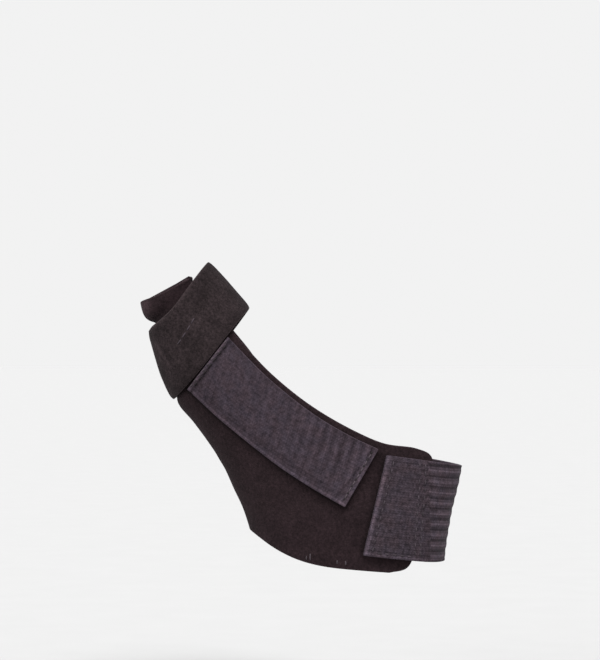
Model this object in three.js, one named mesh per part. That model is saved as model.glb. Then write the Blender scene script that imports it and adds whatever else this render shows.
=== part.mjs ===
// Thumb protector for the right side: a soft wrap for the wrist and thumb, with a loop round the
// thumb and two straps. The wrist runs along Z, its back faces -Y and the thumb side is at -X.
// The origin is on the wrist axis at the middle of the wrist strap.
import * as THREE from 'three';

// Driving dimensions in millimetres
const BODY_THICKNESS = 3;
const LOOP_THICKNESS = 2.5;
const STRAP_THICKNESS = 2;
const LAYER_GAP = 0.35;
const LOOP_GAP = 1;
const BARE_CLEARANCE = 0.6;

// Ovals of the form that the layers lie on, from below the hem up to the rim. Each spans a line in
// XZ from its thumb-side end to its far end, and bulges by its dorsal and palmar depths about y.
const SECTIONS = [
  { thumbX: -34.5, thumbZ: -30, farX: 33.5, farZ: -34, y: 0, dorsal: 22, palmar: 22 },
  { thumbX: -34.5, thumbZ: -16, farX: 32.7, farZ: -22, y: 0, dorsal: 22.5, palmar: 22 },
  { thumbX: -37.6, thumbZ: -1, farX: 36, farZ: -1, y: 0, dorsal: 22.5, palmar: 22 },
  { thumbX: -44.8, thumbZ: 14.5, farX: 40, farZ: 18, y: 1, dorsal: 22.5, palmar: 22.5 },
  { thumbX: -48.1, thumbZ: 20.6, farX: 36.5, farZ: 31, y: 1.5, dorsal: 22.2, palmar: 23 },
  { thumbX: -51.3, thumbZ: 26, farX: 28, farZ: 44, y: 2, dorsal: 21.5, palmar: 23 },
  { thumbX: -58.1, thumbZ: 35.2, farX: -8, farZ: 63, y: 3.5, dorsal: 18, palmar: 20 },
  { thumbX: -63.5, thumbZ: 41.5, farX: -25, farZ: 68, y: 4.3, dorsal: 16, palmar: 17.7 },
  { thumbX: -64.4, thumbZ: 45.8, farX: -42.7, farZ: 73, y: 5, dorsal: 14, palmar: 15.5 },
  { thumbX: -68.4, thumbZ: 58, farX: -51, farZ: 82.2, y: 5.5, dorsal: 12, palmar: 13 },
  { thumbX: -70.4, thumbZ: 65.6, farX: -55, farZ: 86.6, y: 5.8, dorsal: 11.4, palmar: 12.1 },
  { thumbX: -71.6, thumbZ: 70.8, farX: -57.6, farZ: 89.4, y: 6, dorsal: 11.1, palmar: 11.6 },
  { thumbX: -73.3, thumbZ: 74.2, farX: -58.4, farZ: 91, y: 6, dorsal: 11, palmar: 11.5 },
  { thumbX: -76.8, thumbZ: 76, farX: -57.4, farZ: 92.2, y: 6, dorsal: 11, palmar: 11.5 },
  { thumbX: -78.2, thumbZ: 80.4, farX: -56, farZ: 94.2, y: 6, dorsal: 11, palmar: 11.5 },
];

// The loop's own ovals, from its lower edge to beyond its upper edge
const LOOP_SECTIONS = [
  { thumbX: -64, thumbZ: 45.4, farX: -42.7, farZ: 73, y: 5, dorsal: 14, palmar: 15.5 },
  { thumbX: -68.4, thumbZ: 58, farX: -51, farZ: 82.2, y: 5.5, dorsal: 12, palmar: 13 },
  { thumbX: -71.7, thumbZ: 72, farX: -58.6, farZ: 90.4, y: 6, dorsal: 11, palmar: 11.5 },
  { thumbX: -73.8, thumbZ: 86, farX: -66, farZ: 98.6, y: 6, dorsal: 10.5, palmar: 11 },
];
const LOOP_UPPER_EDGE = 2;

// Ends of the body panel under the wrist strap, in the front view
const DORSAL_END = { lowerX: 23.2, lowerZ: -15.5, upperX: 30.4, upperZ: 17 };
const PALMAR_END = { lowerX: 5, lowerZ: -15.5, upperX: 7.5, upperZ: 12 };

// Edges of the body panel in the front view, from the hem round an end to the rim
const DORSAL_EDGE = [
  { x: 14, z: -21.6 },
  { x: 20.4, z: -20.2 },
  { x: DORSAL_END.lowerX, z: DORSAL_END.lowerZ },
  { x: DORSAL_END.upperX, z: DORSAL_END.upperZ },
  { x: 29.6, z: 21.6 },
  { x: 24.2, z: 24.2 },
  { x: 11.1, z: 26.5 },
  { x: -11.9, z: 38 },
  { x: -30, z: 51.8 },
  { x: -43, z: 65.7 },
  { x: -57, z: 83.2 },
];
const PALMAR_EDGE = [
  { x: -1.5, z: -19.6 },
  { x: 3.2, z: -18.4 },
  { x: PALMAR_END.lowerX, z: PALMAR_END.lowerZ },
  { x: PALMAR_END.upperX, z: PALMAR_END.upperZ },
  { x: 6.4, z: 17 },
  { x: 1, z: 21 },
  { x: -9, z: 26 },
  { x: -20, z: 35 },
  { x: -30, z: 47 },
  { x: -40, z: 61.5 },
  { x: -56.5, z: 82.2 },
];

// Arch of the hem at the thumb side and how far up it fades, in shares of a section's pitch
const HEM_RISE = 0.7;
const HEM_RISE_POWER = 3;
const HEM_FADE = 1.8;

// Scoop of the rim at the back, as a share of a section's pitch, the place where it starts, and the
// angles at which the rim ends
const RIM_DIP = 0.6;
const RIM_START = 12;
const RIM_DORSAL_ANGLE = 1.2;
const RIM_PALMAR_ANGLE = 5.08;

// Changes of the loop at the thumb side: its lower edge is cut up and its upper edge reaches up, in
// shares of a section's pitch, and its upper edge flares, in millimetres
const LOOP_CUT = 0.2;
const LOOP_REACH = 0.3;
const LOOP_FLARE = 0.5;
const LOOP_FLARE_POWER = 4;

// How much thinner the loop is at its two edges, in millimetres
const LOOP_EDGE_TAPER = 0.6;
const LOOP_TAPER_POWER = 8;

// Edges of the thumb strap in the front view, from the loop to the free end
const THUMB_STRAP_ROWS = [
  { upperX: -46.2, upperZ: 66, lowerX: -61.9, lowerZ: 45.8 },
  { upperX: -32.4, upperZ: 51.9, lowerX: -47.9, lowerZ: 33.3 },
  { upperX: -16.4, upperZ: 39, lowerX: -31.1, lowerZ: 20.3 },
  { upperX: -2.4, upperZ: 30.4, lowerX: -16.4, lowerZ: 10.6 },
  { upperX: 9.8, upperZ: 24.6, lowerX: -3, lowerZ: 2.9 },
];

// Edges of the wrist strap in the front view: the free end, the far side, and where it is sewn on
const WRIST_STRAP_UPPER = { startX: 12.6, startZ: 21.4, sideX: 42.2, sideZ: 16.9 };
const WRIST_STRAP_LOWER = { startX: 3.8, startZ: -15, sideX: 35.3, sideZ: -19.2 };
const SEWN_X = -8;
const LEAVING_ANGLE = 0.03;
const LANDING_ANGLE = 0.1;

// Colour and roughness of each piece
const FINISHES = {
  body_panel: { color: 0x2b2223, roughness: 0.95 },
  thumb_loop: { color: 0x352c2f, roughness: 0.95 },
  thumb_strap: { color: 0x423a41, roughness: 0.85 },
  wrist_strap: { color: 0x443d43, roughness: 0.85 },
};

// Grid counts
const BODY_ROWS = 44;
const RIM_ROWS = 8;
const BODY_COLUMNS = 26;
const LOOP_ROWS = 8;
const LOOP_COLUMNS = 40;
const THUMB_STRAP_STEPS = 26;
const WRIST_STRAP_STEPS = 48;
const STRAP_COLUMNS = 8;
const SEARCH_STEPS = 40;
const SETTLE_STEPS = 8;

const OVER_BODY = BODY_THICKNESS + LAYER_GAP;
const LOOP_INNER = BODY_THICKNESS + LOOP_GAP;
const DORSAL = 1;
const PALMAR = -1;
const { lerp, mapLinear, clamp, smoothstep } = THREE.MathUtils;

function catmullRom(s, before, from, to, after) {
  const slopeFrom = (to - before) / 2;
  const slopeTo = (after - from) / 2;
  const bend = 2 * (from - to) + slopeFrom + slopeTo;
  const lean = 3 * (to - from) - 2 * slopeFrom - slopeTo;
  return ((bend * s + lean) * s + slopeFrom) * s + from;
}

// A row of a table at a place between its rows, smoothed in every column
function rowAt(table, place) {
  const last = table.length - 1;
  const index = clamp(Math.floor(place), 0, last - 1);
  const near = (k) => table[clamp(index + k, 0, last)];
  const row = {};
  for (const column of Object.keys(table[0])) {
    row[column] = catmullRom(
      place - index, near(-1)[column], near(0)[column], near(1)[column], near(2)[column]);
  }
  return row;
}

// A point of the form: angle 0 is the far end, a quarter turn the back, a half turn the thumb side
function formPoint(sections, place, angle) {
  const s = rowAt(sections, place);
  const along = (1 + Math.cos(angle)) / 2;
  const depth = Math.sin(angle) > 0 ? s.dorsal : s.palmar;
  return new THREE.Vector3(
    lerp(s.thumbX, s.farX, along),
    s.y - depth * Math.sin(angle),
    lerp(s.thumbZ, s.farZ, along));
}

function formNormal(sections, place, angle) {
  const step = 0.01;
  const up = formPoint(sections, place + step, angle).sub(formPoint(sections, place - step, angle));
  const round = formPoint(sections, place, angle + step).sub(formPoint(sections, place, angle - step));
  return up.cross(round).normalize();
}

// A point lifted square to the form
function liftedPoint(place, angle, lift) {
  return formPoint(SECTIONS, place, angle)
    .addScaledVector(formNormal(SECTIONS, place, angle), lift);
}

// A point of the loop's own form, lifted by the same clearance but within its section's plane
function loopPoint(place, angle, lift) {
  const s = rowAt(LOOP_SECTIONS, place);
  const width = new THREE.Vector3(s.farX - s.thumbX, 0, s.farZ - s.thumbZ).normalize();
  const planeNormal = new THREE.Vector3(-width.z, 0, width.x);
  const outward = formNormal(LOOP_SECTIONS, place, angle).projectOnPlane(planeNormal);
  return formPoint(LOOP_SECTIONS, place, angle)
    .addScaledVector(outward, lift / outward.lengthSq());
}

// The place along the sections where a test changes from below to above
function search(isBelow) {
  let low = 0;
  let high = SECTIONS.length - 1;
  for (let i = 0; i < SEARCH_STEPS; i += 1) {
    const middle = (low + high) / 2;
    if (isBelow(middle)) low = middle;
    else high = middle;
  }
  return low;
}

// Where a point of the front view lies on the form
function placeOf(x, z, side) {
  const place = search((middle) => {
    const s = rowAt(SECTIONS, middle);
    return (s.farX - s.thumbX) * (z - s.thumbZ) > (s.farZ - s.thumbZ) * (x - s.thumbX);
  });
  const s = rowAt(SECTIONS, place);
  const width = new THREE.Vector2(s.farX - s.thumbX, s.farZ - s.thumbZ);
  const along = new THREE.Vector2(x - s.thumbX, z - s.thumbZ).dot(width) / width.lengthSq();
  const angle = Math.acos(clamp(2 * along - 1, -1, 1));
  return { place, angle: side === DORSAL ? angle : 2 * Math.PI - angle };
}

// The same for a point that shows there once it is lifted
function placeOfLifted(x, z, side, lift) {
  let found = placeOf(x, z, side);
  for (let i = 0; i < SETTLE_STEPS; i += 1) {
    const normal = formNormal(SECTIONS, found.place, found.angle);
    found = placeOf(x - lift * normal.x, z - lift * normal.z, side);
  }
  return found;
}

// A closed wall between an outer and an inner layer, from rows of { outer, inner } points
function wallGeometry(rows, isRing) {
  const columns = rows[0].length;
  const points = rows.flat().flatMap(({ outer, inner }) => [outer, inner]);
  const outer = (i, j) => 2 * (i * columns + (j % columns));
  const inner = (i, j) => outer(i, j) + 1;
  const indices = [];
  const quad = (a, b, c, d) => indices.push(a, b, c, a, c, d);
  const spans = isRing ? columns : columns - 1;
  const lastRow = rows.length - 1;
  for (let j = 0; j < spans; j += 1) {
    for (let i = 0; i < lastRow; i += 1) {
      quad(outer(i, j), outer(i + 1, j), outer(i + 1, j + 1), outer(i, j + 1));
      quad(inner(i, j), inner(i, j + 1), inner(i + 1, j + 1), inner(i + 1, j));
    }
    quad(outer(0, j), outer(0, j + 1), inner(0, j + 1), inner(0, j));
    quad(outer(lastRow, j), inner(lastRow, j), inner(lastRow, j + 1), outer(lastRow, j + 1));
  }
  for (let i = 0; i < lastRow && !isRing; i += 1) {
    quad(outer(i, 0), inner(i, 0), inner(i + 1, 0), outer(i + 1, 0));
    quad(outer(i, spans), outer(i + 1, spans), inner(i + 1, spans), inner(i, spans));
  }
  const geometry = new THREE.BufferGeometry().setFromPoints(points);
  geometry.setIndex(indices);
  geometry.computeVertexNormals();
  return geometry;
}

function evenly(count, make) {
  return Array.from({ length: count + 1 }, (_, i) => make(i / count));
}

function layer(place, angle, low, thickness) {
  return {
    outer: liftedPoint(place, angle, low + thickness),
    inner: liftedPoint(place, angle, low),
  };
}

// Places along an edge of the body panel, then on through the rim to the last section
function bodyEdge(edge, side, rimAngle) {
  const curve = new THREE.CatmullRomCurve3(edge.map(({ x, z }) => new THREE.Vector3(x, 0, z)));
  const along = curve.getSpacedPoints(BODY_ROWS)
    .map(({ x, z }) => placeOfLifted(x, z, side, BODY_THICKNESS));
  const top = along[BODY_ROWS];
  const rim = evenly(RIM_ROWS, (upward) => ({
    place: lerp(top.place, SECTIONS.length - 1, upward),
    angle: lerp(top.angle, rimAngle, upward),
  }));
  return [...along, ...rim.slice(1)];
}

function hemRise(climb, angle) {
  const fade = Math.max(0, 1 - climb / HEM_FADE);
  return HEM_RISE * fade ** 2 * Math.max(0, -Math.cos(angle)) ** HEM_RISE_POWER;
}

function rimDip(place, angle) {
  const fade = Math.max(0, mapLinear(place, RIM_START, SECTIONS.length - 1, 0, 1));
  return RIM_DIP * fade ** 2 * Math.max(0, Math.sin(angle)) ** 2;
}

function bodyPanel() {
  const dorsal = bodyEdge(DORSAL_EDGE, DORSAL, RIM_DORSAL_ANGLE);
  const palmar = bodyEdge(PALMAR_EDGE, PALMAR, RIM_PALMAR_ANGLE);
  const rows = dorsal.map((start, i) => evenly(BODY_COLUMNS, (across) => {
    const angle = lerp(start.angle, palmar[i].angle, across);
    const place = lerp(start.place, palmar[i].place, across);
    const hem = lerp(dorsal[0].place, palmar[0].place, across);
    const shaped = place + hemRise(place - hem, angle) - rimDip(place, angle);
    return layer(shaped, angle, 0, BODY_THICKNESS);
  }));
  return wallGeometry(rows, false);
}

function thumbLoop() {
  const rows = evenly(LOOP_ROWS, (upward) => {
    const ring = evenly(LOOP_COLUMNS, (turn) => {
      const angle = 2 * Math.PI * turn;
      const thumbward = Math.max(0, -Math.cos(angle)) ** 2;
      const place = lerp(LOOP_CUT * thumbward, LOOP_UPPER_EDGE + LOOP_REACH * thumbward, upward);
      const inner = LOOP_INNER + LOOP_FLARE * thumbward * upward ** LOOP_FLARE_POWER;
      const taper = LOOP_EDGE_TAPER * Math.abs(2 * upward - 1) ** LOOP_TAPER_POWER;
      return {
        outer: loopPoint(place, angle, inner + LOOP_THICKNESS - taper),
        inner: loopPoint(place, angle, inner),
      };
    });
    return ring.slice(0, LOOP_COLUMNS);
  });
  return wallGeometry(rows, true);
}

function thumbStrap() {
  const rows = evenly(THUMB_STRAP_STEPS, (along) => {
    const edge = rowAt(THUMB_STRAP_ROWS, along * (THUMB_STRAP_ROWS.length - 1));
    return evenly(STRAP_COLUMNS, (across) => {
      const x = lerp(edge.lowerX, edge.upperX, across);
      const z = lerp(edge.lowerZ, edge.upperZ, across);
      const { place, angle } = placeOfLifted(x, z, DORSAL, OVER_BODY + STRAP_THICKNESS);
      return layer(place, angle, OVER_BODY, STRAP_THICKNESS);
    });
  });
  return wallGeometry(rows, false);
}

// The angle at which the body panel ends, at a height of the front view
function endAngle(end, z, side) {
  const x = mapLinear(z, end.lowerZ, end.upperZ, end.lowerX, end.upperX);
  const { angle } = placeOfLifted(x, z, side, BODY_THICKNESS);
  return side === DORSAL ? angle : 2 * Math.PI - angle;
}

// The wrist strap lies on both ends of the body panel and eases down to the form between them
function strapLift(angle, z) {
  const side = angle > 0 ? DORSAL : PALMAR;
  const end = side === DORSAL ? DORSAL_END : PALMAR_END;
  const leaving = endAngle(end, z, side) - LEAVING_ANGLE;
  const raised = smoothstep(Math.abs(angle), LANDING_ANGLE, leaving);
  return lerp(BARE_CLEARANCE, OVER_BODY, raised);
}

function wristStrap() {
  const rows = evenly(STRAP_COLUMNS, (across) => {
    const edge = rowAt([WRIST_STRAP_LOWER, WRIST_STRAP_UPPER], across);
    const heightAt = (x) => mapLinear(x, edge.startX, edge.sideX, edge.startZ, edge.sideZ);
    const start = placeOfLifted(edge.startX, edge.startZ, DORSAL, OVER_BODY);
    const sewn = placeOfLifted(SEWN_X, heightAt(SEWN_X), PALMAR, OVER_BODY);
    return evenly(WRIST_STRAP_STEPS, (along) => {
      const angle = lerp(sewn.angle - 2 * Math.PI, start.angle, along);
      const place = search((middle) => {
        const point = formPoint(SECTIONS, middle, angle);
        return point.z < heightAt(point.x);
      });
      const { z } = formPoint(SECTIONS, place, angle);
      return layer(place, angle, strapLift(angle, z), STRAP_THICKNESS);
    });
  });
  return wallGeometry(rows, false);
}

function piece(name, geometry) {
  const material = new THREE.MeshStandardMaterial(FINISHES[name]);
  const mesh = new THREE.Mesh(geometry, material);
  mesh.name = name;
  return mesh;
}

const protector = new THREE.Group();
protector.add(
  piece('body_panel', bodyPanel()),
  piece('thumb_loop', thumbLoop()),
  piece('thumb_strap', thumbStrap()),
  piece('wrist_strap', wristStrap()),
);

export default protector;
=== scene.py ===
import math
from collections import namedtuple

import bpy
import numpy as np
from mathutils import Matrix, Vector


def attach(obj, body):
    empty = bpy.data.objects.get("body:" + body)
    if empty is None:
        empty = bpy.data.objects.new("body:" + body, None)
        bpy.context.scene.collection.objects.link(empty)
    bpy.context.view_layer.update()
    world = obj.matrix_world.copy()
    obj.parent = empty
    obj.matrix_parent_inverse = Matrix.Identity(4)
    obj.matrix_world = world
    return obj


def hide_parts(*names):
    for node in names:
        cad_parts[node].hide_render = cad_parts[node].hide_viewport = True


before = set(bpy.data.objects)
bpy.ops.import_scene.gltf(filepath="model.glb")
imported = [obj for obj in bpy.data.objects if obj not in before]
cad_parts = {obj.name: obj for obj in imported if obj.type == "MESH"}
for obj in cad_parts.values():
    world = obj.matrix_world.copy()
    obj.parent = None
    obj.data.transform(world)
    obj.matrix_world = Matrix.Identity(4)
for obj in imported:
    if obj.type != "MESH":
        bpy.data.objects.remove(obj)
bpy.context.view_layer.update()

MM = 0.001

# Sizes in millimetres, as in the solids
BODY_THICKNESS = 3.0
LOOP_THICKNESS = 2.5
STRAP_THICKNESS = 2.0
LAYER_GAP = 0.35
LOOP_GAP = 1.0
BARE_CLEARANCE = 0.6
OVER_BODY = BODY_THICKNESS + LAYER_GAP
LOOP_INNER = BODY_THICKNESS + LOOP_GAP

# Ovals of the form that the layers lie on: the thumb-side end x and z, the far end x and z, the
# middle y, and the dorsal and palmar depths
SECTIONS = np.array([
    (-34.5, -30.0, 33.5, -34.0, 0.0, 22.0, 22.0),
    (-34.5, -16.0, 32.7, -22.0, 0.0, 22.5, 22.0),
    (-37.6, -1.0, 36.0, -1.0, 0.0, 22.5, 22.0),
    (-44.8, 14.5, 40.0, 18.0, 1.0, 22.5, 22.5),
    (-48.1, 20.6, 36.5, 31.0, 1.5, 22.2, 23.0),
    (-51.3, 26.0, 28.0, 44.0, 2.0, 21.5, 23.0),
    (-58.1, 35.2, -8.0, 63.0, 3.5, 18.0, 20.0),
    (-63.5, 41.5, -25.0, 68.0, 4.3, 16.0, 17.7),
    (-64.4, 45.8, -42.7, 73.0, 5.0, 14.0, 15.5),
    (-68.4, 58.0, -51.0, 82.2, 5.5, 12.0, 13.0),
    (-70.4, 65.6, -55.0, 86.6, 5.8, 11.4, 12.1),
    (-71.6, 70.8, -57.6, 89.4, 6.0, 11.1, 11.6),
    (-73.3, 74.2, -58.4, 91.0, 6.0, 11.0, 11.5),
    (-76.8, 76.0, -57.4, 92.2, 6.0, 11.0, 11.5),
    (-78.2, 80.4, -56.0, 94.2, 6.0, 11.0, 11.5),
])
LAST_SECTION = len(SECTIONS) - 1

# The loop's own ovals, from its lower edge to beyond its upper edge
LOOP_SECTIONS = np.array([
    (-64.0, 45.4, -42.7, 73.0, 5.0, 14.0, 15.5),
    (-68.4, 58.0, -51.0, 82.2, 5.5, 12.0, 13.0),
    (-71.7, 72.0, -58.6, 90.4, 6.0, 11.0, 11.5),
    (-73.8, 86.0, -66.0, 98.6, 6.0, 10.5, 11.0),
])
LOOP_UPPER_EDGE = 2.0

# Ends of the body panel under the wrist strap: lower x and z, upper x and z
DORSAL_END = (23.2, -15.5, 30.4, 17.0)
PALMAR_END = (5.0, -15.5, 7.5, 12.0)

# Edges of the body panel in the front view, x and z, from the hem round an end to the rim
DORSAL_EDGE = np.array([
    (14, -21.6), (20.4, -20.2), DORSAL_END[:2], DORSAL_END[2:], (29.6, 21.6), (24.2, 24.2),
    (11.1, 26.5), (-11.9, 38), (-30, 51.8), (-43, 65.7), (-57, 83.2),
])
PALMAR_EDGE = np.array([
    (-1.5, -19.6), (3.2, -18.4), PALMAR_END[:2], PALMAR_END[2:], (6.4, 17), (1, 21),
    (-9, 26), (-20, 35), (-30, 47), (-40, 61.5), (-56.5, 82.2),
])

# The hem's rise at the thumb side, how narrow it is, and its fading, in shares of a section's pitch
HEM_RISE = 0.7
HEM_RISE_POWER = 3
HEM_FADE = 1.8

# Scoop of the rim at the back, the place where it starts, and the angles at which the rim ends
RIM_DIP = 0.6
RIM_START = 12.0
RIM_DORSAL_ANGLE = 1.2
RIM_PALMAR_ANGLE = 5.08

# Easing of the normals at the neck under the rim: the places where it sets in, and its reach in rows
NECK_EASE = (9.6, 10.6)
NECK_REACH = 5

# Changes of the loop at the thumb side: its lower edge is cut up and its upper edge reaches up, in
# shares of a section's pitch, and its upper edge flares, in millimetres
LOOP_CUT = 0.2
LOOP_REACH = 0.3
LOOP_FLARE = 0.5
LOOP_FLARE_POWER = 4

# How much thinner the loop is at its edges, how much more its cloth is at the lower edge on the thumb side,
# and how narrow both tapers are
LOOP_EDGE_TAPER = 0.6
LOOP_HEM_TAPER = 0.9
LOOP_TAPER_POWER = 8

# Edges of the thumb strap in the front view: upper x and z, lower x and z, from the loop outward
THUMB_STRAP_ROWS = np.array([
    (-46.8, 66.6, -62.5, 46.4),
    (-32.4, 51.9, -47.9, 33.3),
    (-16.4, 39.0, -31.1, 20.3),
    (-2.4, 30.4, -16.4, 10.6),
    (9.8, 24.6, -3.0, 2.9),
])

# Edges of the wrist strap in the front view: x and z at the free end, then at the far side
WRIST_STRAP_EDGES = np.array([
    (3.8, -15.0, 35.3, -19.2),
    (12.6, 21.4, 42.2, 16.9),
])

# The wrist strap's sewn end on the palm side, the angle by which the strap keeps its height past each end of
# the body panel, and the angle at the far side within which it lies low
SEWN_X = -8.0
LEAVING_ANGLE = 0.03
LANDING_ANGLE = 0.1

# Where the faces stop and the edges begin: an inset on the straps, with the nominal sizes that it is a share
# of, and plain shares of the loop's width and of the wrist strap's length
STRAP_INSET = 0.3
THUMB_STRAP_NOMINAL = (96.0, 25.4)
WRIST_STRAP_NOMINAL_WIDTH = 38.0
LOOP_INSET_SHARE = 0.012
WRIST_END_SHARE = 0.003

# Rows and columns of each cloth's grid. The body panel's rows are in two counts: up to the rim, and in it
BODY_GRID = (220, 46, 150)
LOOP_GRID = (70, 300)
THUMB_STRAP_GRID = (330, 60)
WRIST_STRAP_GRID = (120, 280)

# The step that a normal is taken over, and the steps of a search, of settling lifted points and of a curve
NORMAL_STEP = 0.01
SEARCH_STEPS = 40
SETTLE_STEPS = 8
CURVE_STEPS = 60
DORSAL = 1
PALMAR = -1

Patch = namedtuple("Patch", "base normal weave ring")


# The form

def row_at(table, place):
    """Rows of a table at places between its rows, smoothed in every column."""
    place = np.asarray(place, float)
    last = len(table) - 1
    index = np.clip(np.floor(place).astype(int), 0, last - 1)
    share = (place - index)[..., None]
    before, here, there, after = (table[np.clip(index + k, 0, last)] for k in (-1, 0, 1, 2))
    slope_here = (there - before) / 2
    slope_there = (after - here) / 2
    bend = 2 * (here - there) + slope_here + slope_there
    lean = 3 * (there - here) - 2 * slope_here - slope_there
    return ((bend * share + lean) * share + slope_here) * share + here


def form_point(sections, place, angle):
    """Points of the form: angle 0 is the far end, a quarter turn the back, a half turn the thumb side."""
    thumb_x, thumb_z, far_x, far_z, y, dorsal, palmar = np.moveaxis(row_at(sections, place), -1, 0)
    along = (1 + np.cos(angle)) / 2
    depth = np.where(np.sin(angle) > 0, dorsal, palmar)
    return np.stack([
        thumb_x + (far_x - thumb_x) * along,
        y - depth * np.sin(angle),
        thumb_z + (far_z - thumb_z) * along,
    ], -1)


def unit(vectors):
    return vectors / np.linalg.norm(vectors, axis=-1, keepdims=True)


def form_normal(sections, place, angle):
    step = NORMAL_STEP
    up = form_point(sections, place + step, angle) - form_point(sections, place - step, angle)
    around = form_point(sections, place, angle + step) - form_point(sections, place, angle - step)
    return unit(np.cross(up, around))


def search(shape, is_below):
    """The places along the sections where a test changes from below to above."""
    low = np.zeros(shape)
    high = np.full(shape, float(LAST_SECTION))
    for _ in range(SEARCH_STEPS):
        middle = (low + high) / 2
        below = is_below(middle)
        low = np.where(below, middle, low)
        high = np.where(below, high, middle)
    return low


def place_of(x, z, side):
    """Where points of the front view lie on the form, as a place and an angle."""
    def is_below(middle):
        thumb_x, thumb_z, far_x, far_z = np.moveaxis(row_at(SECTIONS, middle)[..., :4], -1, 0)
        return (far_x - thumb_x) * (z - thumb_z) > (far_z - thumb_z) * (x - thumb_x)

    place = search(np.shape(x), is_below)
    thumb_x, thumb_z, far_x, far_z = np.moveaxis(row_at(SECTIONS, place)[..., :4], -1, 0)
    width_x = far_x - thumb_x
    width_z = far_z - thumb_z
    along = ((x - thumb_x) * width_x + (z - thumb_z) * width_z) / (width_x ** 2 + width_z ** 2)
    angle = np.arccos(np.clip(2 * along - 1, -1, 1))
    return place, angle if side == DORSAL else 2 * math.pi - angle


def place_of_lifted(x, z, side, lift):
    """The same for points that show there once they are lifted."""
    place, angle = place_of(x, z, side)
    for _ in range(SETTLE_STEPS):
        normal = form_normal(SECTIONS, place, angle)
        place, angle = place_of(x - lift * normal[..., 0], z - lift * normal[..., 2], side)
    return place, angle


def smooth_curve(points, count):
    """Evenly spaced points on a centripetal spline through the points."""
    ends = (2 * points[0] - points[1], 2 * points[-1] - points[-2])
    padded = np.vstack([ends[0], points, ends[1]])
    dense = []
    for k in range(len(points) - 1):
        before, start, end, after = padded[k:k + 4]
        spans = ((before, start), (start, end), (end, after))
        gap_before, gap, gap_after = (math.sqrt(np.linalg.norm(b - a)) for a, b in spans)
        slope_start = gap * (
            (start - before) / gap_before - (end - before) / (gap_before + gap) + (end - start) / gap)
        slope_end = gap * (
            (end - start) / gap - (after - start) / (gap + gap_after) + (after - end) / gap_after)
        lean = 3 * (end - start) - 2 * slope_start - slope_end
        bend = 2 * (start - end) + slope_start + slope_end
        share = np.linspace(0, 1, CURVE_STEPS, endpoint=k == len(points) - 2)[:, None]
        dense.append(start + share * (slope_start + share * (lean + share * bend)))
    dense = np.vstack(dense)
    lengths = np.concatenate([[0], np.cumsum(np.linalg.norm(np.diff(dense, axis=0), axis=1))])
    wanted = np.linspace(0, lengths[-1], count)
    return np.stack([np.interp(wanted, lengths, dense[:, k]) for k in range(2)], -1)


def smoothstep(value, low, high):
    share = np.clip((value - low) / (high - low), 0, 1)
    return share * share * (3 - 2 * share)


def lerp(a, b, share):
    return a + (b - a) * share


# Slow waves in the soft layers, the same for every layer at a place

WAVE_SEED = 11
WAVE_CELLS = 24
WAVE_SHIFT = 8
WAVE_LATTICE = np.random.default_rng(WAVE_SEED).uniform(-1, 1, (WAVE_CELLS, WAVE_CELLS, WAVE_CELLS))
# Heights and sizes of the waves, in millimetres
SOFT_WAVES = ((0.35, 21.0), (0.16, 8.5))


def wave(points, size):
    """Smooth noise from -1 to 1 with features of a size in millimetres."""
    scaled = points / size + WAVE_SHIFT
    cell = np.floor(scaled).astype(int)
    share = scaled - cell
    share = share * share * (3 - 2 * share)
    total = 0
    for corner in np.ndindex(2, 2, 2):
        weight = np.prod(np.where(corner, share, 1 - share), axis=-1)
        i, j, k = np.moveaxis((cell + corner) % WAVE_CELLS, -1, 0)
        total = total + weight * WAVE_LATTICE[i, j, k]
    return total


def softness(points):
    return sum(height * wave(points, size) for height, size in SOFT_WAVES)


# Patches of the form

def patch_at(place, angle, weave):
    base = form_point(SECTIONS, place, angle)
    normal = form_normal(SECTIONS, place, angle)
    base = base + normal * softness(base)[..., None]
    return Patch(base, normal, weave, ring=False)


def distances(points, axis):
    """Distances in millimetres along an axis of a grid of points."""
    steps = np.linalg.norm(np.diff(points, axis=axis), axis=-1)
    start = np.zeros_like(np.take(steps, [0], axis=axis))
    return np.concatenate([start, np.cumsum(steps, axis=axis)], axis=axis)


def eased(grid, reach):
    """A grid smoothed along its columns by a bell of a reach in rows."""
    steps = np.arange(-3 * reach, 3 * reach + 1)
    weights = np.exp(-0.5 * (steps / reach) ** 2)
    padded = np.pad(grid, ((3 * reach, 3 * reach), (0, 0), (0, 0)), mode="edge")
    return sum(weight * padded[k:k + len(grid)] for k, weight in enumerate(weights)) / weights.sum()


def body_edge(edge, side, end_angle, rows, rim_rows):
    """Places and angles along an edge of the body panel, then on through the rim."""
    place, angle = place_of_lifted(*smooth_curve(edge, rows).T, side, BODY_THICKNESS)
    upward = np.linspace(0, 1, rim_rows + 1)[1:]
    place = np.append(place, lerp(place[-1], LAST_SECTION, upward))
    angle = np.append(angle, lerp(angle[-1], end_angle, upward))
    return place[:, None], angle[:, None]


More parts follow.
